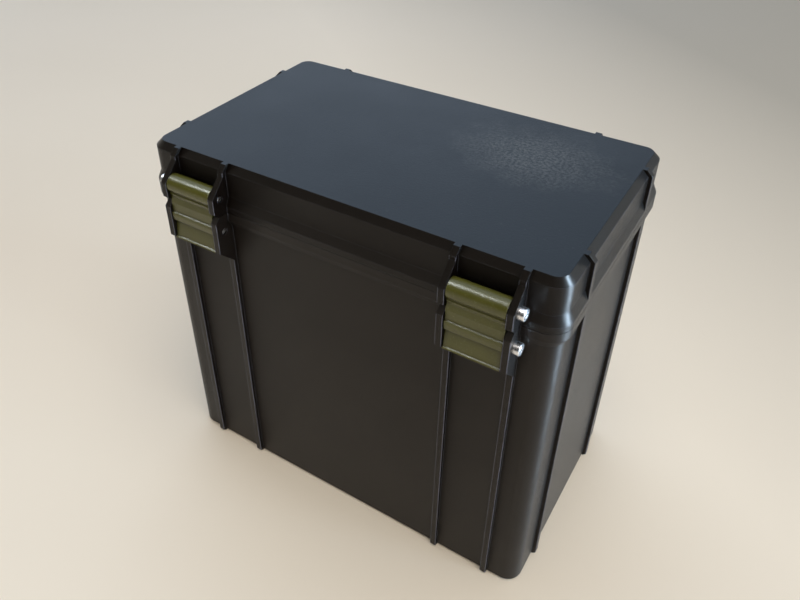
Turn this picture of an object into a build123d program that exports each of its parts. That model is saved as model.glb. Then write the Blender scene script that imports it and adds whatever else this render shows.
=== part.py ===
from build123d import *
import math
import os

os.makedirs("parts", exist_ok=True)

# A printed battery box: X is its length, -Y its front with the two latches, Z is up.
# The origin is on the underside, in the middle of the walls.  All sizes are millimetres.

# ------------------------------------------------------------------ driving sizes
LENGTH = 210.0              # outside of the end walls
WIDTH = 123.0               # outside of the front and back walls
HEIGHT = 193.0              # underside to the top of the lid
PARTING = 169.5             # height of the joint between case and lid
PARTING_GAP = 0.2           # open line between the two rims
WALL = 3.0
CORNER_RADIUS = 8.0
TOP_CHAMFER = 3.0
BOTTOM_CHAMFER = 1.5

RIM_OUT = 2.0               # how far both rims stand out past the walls
LID_BAND = 3.1              # upright part of the lid rim, from the parting plane
LID_FLARE = 7.5             # where the lid rim has run back into the wall
CASE_BAND = 4.5
CASE_FLARE = 8.0

RIB_WIDTH = 3.0
LATCH_CENTRE = 73.5         # latches and hinges sit this far left and right
RIB_SPREAD = 14.5           # from a latch's middle to each of its ribs
END_RIB = 37.8              # end ribs, front and back of the middle

SCREW_DIAMETER = 3.0        # M3 socket cap screws, cut off just short of the inner rib's face
SCREW_HOLE = 3.1
SCREW_LENGTH = 31.7
HEAD_DIAMETER = 5.5
HEAD_LENGTH = 3.0
HEAD_KEY = 2.5              # across the flats of the hexagon socket
LATCH_SCREW_OUT = 5.5       # screw centres in front of the wall
LATCH_SCREW_RISE = 8.75     # and above and below the parting plane
EAR_OUT = 10.3              # reach of the ears past the wall
EAR_CUT = 2.6               # bevel of the ears at the parting plane
EAR_FOOT = 142.0            # where the case ear has run into its rib
EAR_TOP = 188.0             # where the lid ear has run into its rib

HINGE_OUT = 6.5             # hinge axis behind the wall, on the parting plane
HINGE_EAR_RADIUS = 4.2
HINGE_EAR_FOOT = 20.0       # below the parting plane, where a hinge ear starts
KNUCKLE_RADIUS = 4.0
SIDE_PLAY = 0.3             # between a moving part and the ear beside it
BARREL_RADIUS = 4.6         # of a latch, round its pivot screw
LATCH_END = 149.6           # height of the latch tail's lower edge

SEAL_WIDTH = 2.4
SEAL_GROOVE_DEPTH = 2.0
SEAL_CENTRE = -0.5          # seal line, measured outwards from the wall face

CELL_LENGTH = 148.0
CELL_THICK = 25.0
CELL_HEIGHT = 126.0
CELL_ROUNDING = 2.5
CELL_GAP = 0.6              # room between two cells for one insulating sheet
SHEET_THICK = 0.5
CELL_FLOOR = 5.0            # cells stand on the cradle's plate
CELL_RIGHT = 99.6
TERMINAL_REACH = 52.0       # terminals from the middle of a cell
TERMINAL_LONG = 20.0
TERMINAL_BROAD = 15.0
TERMINAL_TALL = 2.0
STUD_DIAMETER = 6.0
STUD_LENGTH = 10.0
BUSBAR_THICK = 2.0
BUSBAR_END = 7.0            # busbar past each stud centre
NUT_FLANGE = 11.0
NUT_HEIGHT = 5.0

CRADLE_WALL = 2.0
CRADLE_HEIGHT = 18.0
PANEL_THICK = 3.0
PANEL_TOP = 131.0
HOLD_DOWN_WIDTH = 24.0
HOLD_DOWN_THICK = 4.0
BOSS_DEPTH = 6.8
BOSS_WIDTH = 12.0
BOSS_HEIGHT = 30.0
SMALL_SCREW = 2.5           # M2.5 screws hold everything inside
SMALL_HEAD = 4.5
SMALL_PILOT = 1.25          # radius of their pilot holes
SMALL_CLEARANCE = 1.6       # radius of the holes they pass through

BOARD_THICK = 1.6
BOARD_STANDOFF = 5.0
BOARD_HALF = 48.0
BOARD_LOW = 25.0
BOARD_HIGH = 90.0
BOARD_STUD_Z = 82.0
TRANSISTORS = 6
TRANSISTOR_PITCH = 12.0
TRANSISTOR_THICK = 1.5
SINK_HALF = 36.0
SINK_LOW = 34.0
SINK_HIGH = 66.0
SINK_DEPTH = 7.0
FINS = 9
FUSE_Z = 108.0

LEAD_DIAMETER = 6.0
LUG_RING = 12.0
LUG_THICK = 1.5
LUG_BARREL = 7.0
LUG_BARREL_START = 9.0      # from the stud centre
LUG_BARREL_LENGTH = 10.0
BALANCE_WIRE = 1.5
BALANCE_PITCH = 2.8

SOCKET_HEIGHT = 140.0       # centre of the power socket above the underside
SOCKET_PITCH = 17.0
SOCKET_LONG = 48.0
SOCKET_TALL = 26.0
SOCKET_FLANGE = 2.0
SOCKET_INSIDE = 18.0        # how far it reaches in behind the wall
SOCKET_BODY = 18.0          # height of the part that goes through the wall
SOCKET_SIDE = 6.5           # body past each contact
SOCKET_SKIN = 2.0
PIN_RADIUS = 2.5

# ------------------------------------------------------------------ worked-out places
HALF_LENGTH = LENGTH / 2
HALF_WIDTH = WIDTH / 2
CASE_TOP = PARTING - PARTING_GAP / 2
LID_BOTTOM = PARTING + PARTING_GAP / 2
SIDES = (-1, 1)
RIB_PLACES = [s * (LATCH_CENTRE + k * RIB_SPREAD) for s in SIDES for k in SIDES]
MOVING_WIDTH = 2 * RIB_SPREAD - RIB_WIDTH - 2 * SIDE_PLAY
LATCH_Y = HALF_WIDTH + LATCH_SCREW_OUT
HINGE_Y = HALF_WIDTH + HINGE_OUT
LATCH_PIVOT = (LATCH_SCREW_OUT, PARTING + LATCH_SCREW_RISE)
LATCH_CATCH = (LATCH_SCREW_OUT, PARTING - LATCH_SCREW_RISE)

CELL_PITCH = CELL_THICK + CELL_GAP
CELL_Y = [(k - 1.5) * CELL_PITCH for k in range(4)]
CELL_MIDDLE = CELL_RIGHT - CELL_LENGTH / 2
CELL_LEFT = CELL_RIGHT - CELL_LENGTH
CELL_TOP = CELL_FLOOR + CELL_HEIGHT
STACK_HALF = CELL_Y[3] + CELL_THICK / 2
LEFT_TERMINAL = CELL_MIDDLE - TERMINAL_REACH
RIGHT_TERMINAL = CELL_MIDDLE + TERMINAL_REACH
TERMINAL_TOP = CELL_TOP + TERMINAL_TALL

PANEL_FACE = CELL_LEFT - 0.3 - PANEL_THICK      # side of the panel that faces the bay
BOARD_BACK = PANEL_FACE - BOARD_STANDOFF
BOARD_FACE = BOARD_BACK - BOARD_THICK
BOARD_HOLES = [(y, z) for y in (-43.5, 43.5) for z in (30.0, 70.0)]
LUG_SEAT = BOARD_FACE - 2.7                     # shared plane of the lugs in the bay
LEAD_DROP = LUG_SEAT - LUG_BARREL / 2
LEAD_LEVEL = TERMINAL_TOP + LUG_BARREL / 2
FUSE_NEAR = SOCKET_PITCH / 2
FUSE_FAR = CELL_Y[3]
FUSE_SCREW_SEAT = LUG_SEAT + LUG_THICK + 2.6      # bottom of the fuse holder's screw recesses
BALANCE_Y = [-CELL_PITCH + (k - 1) * BALANCE_PITCH for k in range(5)]
BALANCE_DROP = BOARD_FACE - 4.3
BOSS_Y = HALF_WIDTH - WALL - BOSS_DEPTH / 2
SOCKET_SCREW_Y = SOCKET_LONG / 2 - 4
SOCKET_HALF = SOCKET_PITCH / 2 + SOCKET_SIDE
SOCKET_BACK = -HALF_LENGTH + WALL + SOCKET_INSIDE
LUG_END = LUG_BARREL_START + LUG_BARREL_LENGTH


# ------------------------------------------------------------------ helpers
def block(x0, x1, y0, y1, z0, z1):
    """A box between two opposite corners."""
    middle = Pos((x0 + x1) / 2, (y0 + y1) / 2, (z0 + z1) / 2)
    return middle * Box(abs(x1 - x0), abs(y1 - y0), abs(z1 - z0))


def ring_sketch(outward):
    """The plan of the box, grown outwards from its wall face."""
    return RectangleRounded(LENGTH + 2 * outward, WIDTH + 2 * outward, CORNER_RADIUS + outward)


def slab(outward, z0, z1):
    """The plan of the box as a slab between two heights."""
    return Pos(0, 0, z0) * extrude(ring_sketch(outward), z1 - z0)


def flare(outward_low, z_low, outward_high, z_high):
    """A sloping band that joins two plans of the box."""
    low = Pos(0, 0, z_low) * ring_sketch(outward_low)
    high = Pos(0, 0, z_high) * ring_sketch(outward_high)
    return loft([low, high])


def wall_plate(points, wall, along, thickness, turn=0):
    """A plate standing on a wall; points are (distance out from the wall, height)."""
    outline = Polyline([(-(wall + out), z) for out, z in points], close=True)
    plate = extrude(Plane.YZ * make_face(outline), thickness / 2, both=True)
    return Rot(0, 0, turn) * Pos(along, 0, 0) * plate


def cross_cylinder(radius, x0, x1, y, z):
    """A cylinder that lies along X."""
    return Pos((x0 + x1) / 2, y, z) * Rot(0, 90, 0) * Cylinder(radius, abs(x1 - x0))


def cap_screw(diameter, length, head, head_length, key):
    """A socket cap screw: shank down -Z from the origin, head above it."""
    shank = Pos(0, 0, -length / 2) * Cylinder(diameter / 2, length)
    cap = Pos(0, 0, head_length / 2) * Cylinder(head / 2, head_length)
    cap = chamfer(cap.edges().group_by(Axis.Z)[-1], 0.3)
    hexagon = RegularPolygon(key / 2, 6, major_radius=False)
    recess = Pos(0, 0, head_length * 0.45) * extrude(hexagon, head_length)
    tip = shank.edges().group_by(Axis.Z)[0]
    return chamfer(tip, 0.4) + cap - recess


def side_screw(side, y, z):
    """The long M3 screw of a latch or hinge, with its head on the outer side."""
    face = side * (LATCH_CENTRE + RIB_SPREAD + RIB_WIDTH / 2)
    screw = cap_screw(SCREW_DIAMETER, SCREW_LENGTH, HEAD_DIAMETER, HEAD_LENGTH, HEAD_KEY)
    return Pos(face, y, z) * Rot(0, side * 90, 0) * screw


def small_screw(length):
    """One of the screws that hold the pieces inside the case."""
    return cap_screw(SMALL_SCREW, length, SMALL_HEAD, 2.2, 2.0)


def round_lead(points, diameter, bend):
    """A lead along straight runs joined by arcs."""
    bends = [bend] * (len(points) - 2)
    path = FilletPolyline(*points, radius=bends)
    start = Plane(origin=points[0], z_dir=Vector(*points[1]) - Vector(*points[0]))
    return sweep(start * Circle(diameter / 2), path=path)


# ------------------------------------------------------------------ ribs and ears
CASE_RIB = [(-1, 0), (0.5, 0), (RIM_OUT, 1.5), (RIM_OUT, CASE_TOP), (-1, CASE_TOP)]
LID_RIB_TOP = [(RIM_OUT, HEIGHT - TOP_CHAMFER), (RIM_OUT - TOP_CHAMFER, HEIGHT), (-TOP_CHAMFER, HEIGHT)]
LID_RIB = [(-1, LID_BOTTOM), (RIM_OUT, LID_BOTTOM)] + LID_RIB_TOP + [(-TOP_CHAMFER, HEIGHT - 1)]


def case_latch_rib(along):
    """Front rib of the case: a plain rib that widens into the ear of the catch screw."""
    reach = EAR_OUT - RIM_OUT
    points = CASE_RIB[:3] + [(RIM_OUT, EAR_FOOT), (EAR_OUT, EAR_FOOT + reach)]
    points += [(EAR_OUT, CASE_TOP - EAR_CUT), (EAR_OUT - EAR_CUT, CASE_TOP), (-1, CASE_TOP)]
    return wall_plate(points, HALF_WIDTH, along, RIB_WIDTH)


def lid_latch_rib(along):
    """Front rib of the lid, with the ear of the latch's pivot screw."""
    reach = EAR_OUT - RIM_OUT
    points = [(-1, LID_BOTTOM), (EAR_OUT - EAR_CUT, LID_BOTTOM), (EAR_OUT, LID_BOTTOM + EAR_CUT)]
    points += [(EAR_OUT, EAR_TOP - reach), (RIM_OUT, EAR_TOP)]
    points += LID_RIB_TOP + [(-TOP_CHAMFER, HEIGHT - 1)]
    return wall_plate(points, HALF_WIDTH, along, RIB_WIDTH)


def case_hinge_rib(along):
    """Back rib of the case with a hinge ear; its upper rear corner stops the open lid."""
    rear = HINGE_OUT + HINGE_EAR_RADIUS
    foot = PARTING - HINGE_EAR_FOOT
    points = CASE_RIB[:3] + [(RIM_OUT, foot), (rear, foot + rear - RIM_OUT), (rear, PARTING)]
    points += [(rear - 0.3, PARTING + 3.15), (HINGE_OUT + 1.4, PARTING + 3.9)]
    points += [(HINGE_OUT, PARTING), (RIM_OUT, CASE_TOP), (-1, CASE_TOP)]
    rib = wall_plate(points, HALF_WIDTH, along, RIB_WIDTH, 180)
    half = RIB_WIDTH / 2
    return rib + cross_cylinder(HINGE_EAR_RADIUS, -along - half, -along + half, HINGE_Y, PARTING)


def lid_knuckle(centre):
    """Hinge knuckle of the lid with its web and the one rib that runs up to the top."""
    half = MOVING_WIDTH / 2
    barrel = cross_cylinder(KNUCKLE_RADIUS, centre - half, centre + half, HINGE_Y, PARTING)
    crown = PARTING + KNUCKLE_RADIUS
    web = [(-1, LID_BOTTOM), (HINGE_OUT, LID_BOTTOM), (HINGE_OUT, crown)]
    web += [(RIM_OUT, crown + 5), (-1, crown + 8)]
    rib = [(-1, crown), (RIM_OUT, crown)] + LID_RIB_TOP + [(-TOP_CHAMFER, HEIGHT - 1)]
    knuckle = barrel + wall_plate(web, HALF_WIDTH, -centre, MOVING_WIDTH, 180)
    return knuckle + wall_plate(rib, HALF_WIDTH, -centre, RIB_WIDTH, 180)


def end_ribs(points):
    """The four plain ribs of the two ends."""
    ribs = []
    for turn in (90, 270):
        for side in SIDES:
            ribs.append(wall_plate(points, HALF_LENGTH, side * END_RIB, RIB_WIDTH, turn))
    return ribs


def screw_holes(y, z):
    """Cross holes through both pairs of ears."""
    reach = LATCH_CENTRE + RIB_SPREAD + RIB_WIDTH
    near = LATCH_CENTRE - RIB_SPREAD - RIB_WIDTH
    return [cross_cylinder(SCREW_HOLE / 2, s * near, s * reach, y, z) for s in SIDES]


# ------------------------------------------------------------------ case and lid
def make_case_body():
    """The deep tray: walls, rim, ribs, hold-down bosses, seal groove and socket opening."""
    body = slab(0, 0, CASE_TOP)
    body = chamfer(body.edges().group_by(Axis.Z)[0], BOTTOM_CHAMFER)
    body += slab(RIM_OUT, PARTING - CASE_BAND, CASE_TOP)
    body += flare(0, PARTING - CASE_FLARE, RIM_OUT, PARTING - CASE_BAND)
    for along in RIB_PLACES:
        body += case_latch_rib(along)
        body += case_hinge_rib(along)
    for rib in end_ribs(CASE_RIB):
        body += rib
    body -= slab(-WALL, WALL, HEIGHT)
    for side in SIDES:
        body += hold_down_boss(side)
    half = SEAL_WIDTH / 2 + 0.1
    groove = slab(SEAL_CENTRE + half, CASE_TOP - SEAL_GROOVE_DEPTH, HEIGHT)
    body -= groove - slab(SEAL_CENTRE - half, 0, HEIGHT)
    for hole in screw_holes(-LATCH_Y, LATCH_CATCH[1]) + screw_holes(HINGE_Y, PARTING):
        body -= hole
    outside, inside = -HALF_LENGTH - 5, -HALF_LENGTH + 10
    half = SOCKET_HALF + 0.2
    rise = SOCKET_BODY / 2 + 0.2
    body -= block(outside, inside, -half, half, SOCKET_HEIGHT - rise, SOCKET_HEIGHT + rise)
    for side in SIDES:
        body -= cross_cylinder(SMALL_CLEARANCE, outside, inside, side * SOCKET_SCREW_Y, SOCKET_HEIGHT)
    return body


def hold_down_boss(side):
    """A tapered boss inside the front or back wall for one hold-down screw."""
    low = CELL_TOP - BOSS_HEIGHT
    inner = -WALL - BOSS_DEPTH
    points = [(-WALL / 2, low), (-WALL, low), (inner, low + BOSS_WIDTH), (inner, CELL_TOP)]
    points.append((-WALL / 2, CELL_TOP))
    turn = 0 if side < 0 else 180
    boss = wall_plate(points, HALF_WIDTH, -side * CELL_MIDDLE, BOSS_WIDTH, turn)
    return boss - Pos(CELL_MIDDLE, side * BOSS_Y, CELL_TOP - 6) * Cylinder(SMALL_PILOT, 12.2)


def make_case_lid():
    """The lid: chamfered cap, rim, ribs and the hinge knuckles."""
    lid = slab(0, LID_BOTTOM, HEIGHT)
    lid = chamfer(lid.edges().group_by(Axis.Z)[-1], TOP_CHAMFER)
    lid += slab(RIM_OUT, LID_BOTTOM, PARTING + LID_BAND)
    lid += flare(RIM_OUT, PARTING + LID_BAND, 0, PARTING + LID_FLARE)
    for along in RIB_PLACES:
        lid += lid_latch_rib(along)
    for side in SIDES:
        lid += lid_knuckle(side * LATCH_CENTRE)
    for rib in end_ribs(LID_RIB):
        lid += rib
    lid -= slab(-WALL, 0, HEIGHT - WALL)
    for hole in screw_holes(-LATCH_Y, LATCH_PIVOT[1]) + screw_holes(HINGE_Y, PARTING):
        lid -= hole
    return lid


def make_seal():
    """The soft ring that lies in the groove of the case rim."""
    half = SEAL_WIDTH / 2
    low = CASE_TOP - SEAL_GROOVE_DEPTH
    high = LID_BOTTOM - 0.05
    return slab(SEAL_CENTRE + half, low, high) - slab(SEAL_CENTRE - half, low - 1, high + 1)


def make_latch(centre):
    """A snap latch: barrel on the lid's screw, hook over the case's screw, finger tail."""
    pivot_out, pivot_z = LATCH_PIVOT
    end = LATCH_END
    arm = [(8.3, 175.4), (9.0, 174.0), (8.3, 172.2), (9.0, 169.2), (8.9, 164.2)]
    ledge = [(9.6, 163.9), (9.8, 162.2), (9.5, 159.8), (8.0, 158.3)]
    tail = [(8.6, end + 5.4), (9.2, end + 1.0), (9.8, end + 0.7), (10.0, end)]
    behind_tail = [(8.8, end), (7.5, end + 3.0), (7.4, end + 5.8)]
    hook = [(3.4, 156.4), (3.4, 158.4), (5.0, 159.2), (5.0, 162.3), (3.4, 163.1), (3.4, 165.6)]
    behind_arm = [(5.4, 168.0), (5.2, 173.0), (pivot_out, pivot_z)]
    outline = arm + ledge + tail + behind_tail + hook + behind_arm
    latch = wall_plate(outline, HALF_WIDTH, centre, MOVING_WIDTH)
    half = MOVING_WIDTH / 2
    latch += cross_cylinder(BARREL_RADIUS, centre - half, centre + half, -LATCH_Y, pivot_z)
    for out, z in (LATCH_PIVOT, LATCH_CATCH):
        latch -= cross_cylinder(SCREW_HOLE / 2, centre - half - 1, centre + half + 1, -(HALF_WIDTH + out), z)
    return latch


# ------------------------------------------------------------------ cells
def make_cell(y):
    """One prismatic cell with rounded upright edges and a shallow vent on top."""
    plan = RectangleRounded(CELL_LENGTH, CELL_THICK, CELL_ROUNDING)
    can = Pos(CELL_MIDDLE, y, CELL_FLOOR) * extrude(plan, CELL_HEIGHT)
    vent = Pos(CELL_MIDDLE, y, CELL_TOP - 0.4) * extrude(SlotOverall(22, 12), 1)
    return can - vent


def terminal_places():
    return [(x, y) for x in (LEFT_TERMINAL, RIGHT_TERMINAL) for y in CELL_Y]


def make_terminals():
    """Terminal pads with their threaded studs, two on every cell."""
    solids = []
    for x, y in terminal_places():
        pad = Pos(x, y, CELL_TOP) * extrude(RectangleRounded(TERMINAL_LONG, TERMINAL_BROAD, 2), TERMINAL_TALL)
        stud = Pos(x, y, TERMINAL_TOP + STUD_LENGTH / 2) * Cylinder(STUD_DIAMETER / 2, STUD_LENGTH)
        solids.append(pad + chamfer(stud.edges().group_by(Axis.Z)[-1], 0.6))
    return solids


def flange_nut():
    """A flanged M6 nut standing on the origin, with a clear bore."""
    flange = Pos(0, 0, 0.6) * Cylinder(NUT_FLANGE / 2, 1.2)
    hexagon = extrude(RegularPolygon(5.0, 6, major_radius=False), NUT_HEIGHT)
    return flange + hexagon - Pos(0, 0, NUT_HEIGHT / 2) * Cylinder(STUD_DIAMETER / 2 + 0.05, NUT_HEIGHT + 1)


def make_terminal_nuts():
    """One nut on every stud: on a busbar, or on a lug at the two pack ends."""
    solids = []
    for x, y in terminal_places():
        pack_end = x == LEFT_TERMINAL and y in (CELL_Y[0], CELL_Y[3])
        seat = TERMINAL_TOP + (LUG_THICK if pack_end else BUSBAR_THICK)
        solids.append(Pos(x, y, seat) * flange_nut())
    return solids


def make_busbars():
    """Copper bars that put the four cells in series."""
    bars = []
    for x, first in ((RIGHT_TERMINAL, 0), (LEFT_TERMINAL, 1), (RIGHT_TERMINAL, 2)):
        middle = (CELL_Y[first] + CELL_Y[first + 1]) / 2
        plan = RectangleRounded(16, CELL_PITCH + 2 * BUSBAR_END, 4)
        bar = Pos(x, middle, TERMINAL_TOP) * extrude(plan, BUSBAR_THICK)
        for y in CELL_Y[first:first + 2]:
            bar -= Pos(x, y, TERMINAL_TOP) * Cylinder(STUD_DIAMETER / 2 + 0.2, 10)
        bars.append(bar)
    return bars


def make_cell_sheets():
    """Insulating sheets between the cells."""
    sheets = []
    for k in range(3):
        y = (CELL_Y[k] + CELL_Y[k + 1]) / 2
        half = SHEET_THICK / 2
        sheets.append(block(CELL_LEFT + 1, CELL_RIGHT - 1, y - half, y + half, CELL_FLOOR, CELL_TOP - 1))
    return sheets


def make_cell_cradle():
    """The tray under the cells; its tall end panel carries the electronics."""
    inner = STACK_HALF + 0.3
    outer = inner + CRADLE_WALL
    right = CELL_RIGHT + 0.3
    cradle = block(PANEL_FACE, right + 1.8, -outer, outer, WALL, CRADLE_HEIGHT)
    cradle -= block(CELL_LEFT - 0.3, right, -inner, inner, CELL_FLOOR, CRADLE_HEIGHT + 1)
    cradle += block(PANEL_FACE, CELL_LEFT - 0.3, -outer, outer, WALL, PANEL_TOP)
    for y, z in BOARD_HOLES:
        cradle += cross_cylinder(3.5, BOARD_BACK, PANEL_FACE + 0.5, y, z)
    for y, z in BOARD_HOLES + fuse_screw_places():
        cradle -= cross_cylinder(SMALL_PILOT, BOARD_BACK - 1, PANEL_FACE + PANEL_THICK + 1, y, z)
    return cradle


def make_hold_down_bar():
    """A strap of printed plastic across the cell tops, screwed to the two wall bosses."""
    plan = RectangleRounded(HOLD_DOWN_WIDTH, WIDTH - 2 * WALL - 0.8, 3)
    bar = Pos(CELL_MIDDLE, 0, CELL_TOP) * extrude(plan, HOLD_DOWN_THICK)
    for side in SIDES:
        bar -= Pos(CELL_MIDDLE, side * BOSS_Y, CELL_TOP) * Cylinder(SMALL_CLEARANCE, 20)
    for y in CELL_Y:
        bar -= Pos(CELL_MIDDLE, y, CELL_TOP) * extrude(SlotOverall(18, 10), HOLD_DOWN_THICK)
    return bar


def make_hold_down_screws():
    """The two screws of the hold-down bar."""
    return [Pos(CELL_MIDDLE, side * BOSS_Y, CELL_TOP + HOLD_DOWN_THICK) * small_screw(12) for side in SIDES]


# ------------------------------------------------------------------ electronics in the bay
def make_board():
    """The protection board, held by a screw at each of its four corners."""
    board = block(BOARD_FACE, BOARD_BACK, -BOARD_HALF, BOARD_HALF, BOARD_LOW, BOARD_HIGH)
    for y, z in BOARD_HOLES:
        board -= cross_cylinder(SMALL_CLEARANCE, BOARD_FACE - 1, BOARD_BACK + 1, y, z)
    return board


def board_stud_places():
    return [(CELL_Y[0], BOARD_STUD_Z), (-SOCKET_PITCH / 2, BOARD_STUD_Z)]


def make_board_studs():
    """Soldered seats with threaded studs for the two negative leads."""
    studs = []
    for y, z in board_stud_places():
        seat = block(LUG_SEAT, BOARD_FACE, y - 7, y + 7, z - 7, z + 7)
        studs.append(seat + cross_cylinder(STUD_DIAMETER / 2, LUG_SEAT - STUD_LENGTH, LUG_SEAT, y, z))
    return studs


def make_heat_sink():
    """The finned plate over the board's switching transistors."""
    back = BOARD_FACE - TRANSISTOR_THICK
    sink = block(back - 2, back, -SINK_HALF, SINK_HALF, SINK_LOW, SINK_HIGH)
    for k in range(FINS):
        y = (SINK_HALF - 1) * (2 * k / (FINS - 1) - 1)
        sink += block(back - SINK_DEPTH, back - 1, y - 1, y + 1, SINK_LOW, SINK_HIGH)
    return sink


def make_transistors():
    """The row of flat transistor cases between the board and the heat sink."""
    cases = []
    middle = (SINK_LOW + SINK_HIGH) / 2
    for k in range(TRANSISTORS):
        y = (k - (TRANSISTORS - 1) / 2) * TRANSISTOR_PITCH
        cases.append(block(BOARD_FACE - TRANSISTOR_THICK, BOARD_FACE, y - 4, y + 4, middle - 6, middle + 6))
    return cases


def make_balance_plug():
    """The five-way plug of the balance wires on the board."""
    middle = BALANCE_Y[2]
    half = 2.5 * BALANCE_PITCH + 0.3
    return block(BOARD_FACE - 7.5, BOARD_FACE, middle - half, middle + half, BOARD_HIGH - 9, BOARD_HIGH + 1)


def make_board_screws():
    """Four small screws through the board into the standoffs."""
    return [Pos(BOARD_FACE, y, z) * Rot(0, -90, 0) * small_screw(8) for y, z in BOARD_HOLES]


def fuse_screw_places():
    return [(FUSE_NEAR + 9, FUSE_Z - 7), (FUSE_FAR - 9, FUSE_Z + 7)]


def make_fuse_holder():
    """The block under the fuse with its two threaded studs' recesses."""
    holder = block(LUG_SEAT + LUG_THICK, PANEL_FACE, FUSE_NEAR - 9, FUSE_FAR + 9, FUSE_Z - 10, FUSE_Z + 10)
    for y, z in fuse_screw_places():
        holder -= cross_cylinder(SMALL_CLEARANCE, LUG_SEAT, PANEL_FACE, y, z)
        holder -= cross_cylinder(SMALL_HEAD / 2 + 0.35, LUG_SEAT, FUSE_SCREW_SEAT, y, z)
    return holder


def make_fuse_studs():
    """The two threaded studs of the fuse holder."""
    studs = []
    for y in (FUSE_NEAR, FUSE_FAR):
        end, root = LUG_SEAT - STUD_LENGTH, LUG_SEAT + LUG_THICK
        studs.append(cross_cylinder(STUD_DIAMETER / 2, end, root, y, FUSE_Z))
    return studs


def make_fuse():
    """A bolt-down fuse: two flat tabs and a moulded body between them."""
    face = LUG_SEAT + LUG_THICK
    middle = (FUSE_NEAR + FUSE_FAR) / 2
    tabs = block(LUG_SEAT, face, FUSE_NEAR - 5.5, FUSE_FAR + 5.5, FUSE_Z - 5, FUSE_Z + 5)
    body = block(LUG_SEAT - 5, face, middle - 7.5, middle + 7.5, FUSE_Z - 6, FUSE_Z + 6)
    fuse = tabs + body
    for y in (FUSE_NEAR, FUSE_FAR):
        fuse -= cross_cylinder(STUD_DIAMETER / 2 + 0.1, LUG_SEAT - 1, face + 1, y, FUSE_Z)
    return fuse


def make_fuse_screws():
    """Two screws that hold the fuse holder to the panel."""
    return [Pos(FUSE_SCREW_SEAT, y, z) * Rot(0, -90, 0) * small_screw(7) for y, z in fuse_screw_places()]


def make_bay_nuts():
    """Nuts over the four lugs in the bay."""
    nuts = []
    for y, z in board_stud_places() + [(FUSE_NEAR, FUSE_Z), (FUSE_FAR, FUSE_Z)]:
        nuts.append(Pos(LUG_SEAT - LUG_THICK, y, z) * Rot(0, -90, 0) * flange_nut())
    return nuts


def lug():
    """A ring lug: ring flat on the origin, barrel running out along +X."""
    ring = extrude(Circle(LUG_RING / 2), LUG_THICK)
    neck = block(0, LUG_BARREL_START + 1, -3, 3, 0, LUG_THICK)
    middle = LUG_BARREL_START + LUG_BARREL_LENGTH / 2
    barrel = Pos(middle, 0, LUG_BARREL / 2) * Rot(0, 90, 0) * Cylinder(LUG_BARREL / 2, LUG_BARREL_LENGTH)
    return ring + neck + barrel - Cylinder(STUD_DIAMETER / 2 + 0.1, 10)


def make_lugs():
    """The six lugs: two on the cells and four in the bay with their barrels upwards."""
    lugs = []
    for y in (CELL_Y[0], CELL_Y[3]):
        lugs.append(Pos(LEFT_TERMINAL, y, TERMINAL_TOP) * Rot(0, 0, 180) * lug())
    upright = Plane(origin=(0, 0, 0), x_dir=(0, 0, 1), z_dir=(-1, 0, 0))
    for y, z in board_stud_places() + [(FUSE_NEAR, FUSE_Z), (FUSE_FAR, FUSE_Z)]:
        lugs.append(Pos(LUG_SEAT, y, z) * upright.location * lug())
    return lugs


# ------------------------------------------------------------------ leads
def cell_lead(y, stud_z):
    """From a lug on the cells, over the panel and down to a lug in the bay."""
    points = [(LEFT_TERMINAL - LUG_END, y, LEAD_LEVEL), (LEAD_DROP, y, LEAD_LEVEL)]
    points.append((LEAD_DROP, y, stud_z + LUG_END))
    return round_lead(points, LEAD_DIAMETER, 8.0)


def socket_lead(y, stud_z):
    """From a lug in the bay up and across to the back of the power socket."""
    points = [(LEAD_DROP, y, stud_z + LUG_END), (LEAD_DROP, y, SOCKET_HEIGHT)]
    points.append((SOCKET_BACK, y, SOCKET_HEIGHT))
    return round_lead(points, LEAD_DIAMETER, 10.0)


def make_balance_wires():
    """Five thin wires from the cell joints to the balance plug."""
    low = TERMINAL_TOP + BUSBAR_THICK + 4
    high = low + 2.5
    left_edge = LEFT_TERMINAL + 8.5
    bar_edge = LEFT_TERMINAL + 7.0
    right_edge = RIGHT_TERMINAL - 7.0
    taps = [
        (left_edge, CELL_Y[0], TERMINAL_TOP, low),
        (right_edge, -CELL_PITCH, TERMINAL_TOP + BUSBAR_THICK, low),
        (bar_edge, -4.0, TERMINAL_TOP + BUSBAR_THICK, low),
        (right_edge, CELL_PITCH, TERMINAL_TOP + BUSBAR_THICK, high),
        (left_edge, CELL_Y[3], TERMINAL_TOP, high),
    ]
    wires = []
    for lane, (x, y, z, level) in zip(BALANCE_Y, taps):
        points = [(x, y, z), (x, y, level)]
        if abs(y - lane) > 0.01:
            points.append((x, lane, level))
        points += [(BALANCE_DROP, lane, level), (BALANCE_DROP, lane, BOARD_HIGH + 1)]
        wires.append(round_lead(points, BALANCE_WIRE, 2.0))
    return wires


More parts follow.
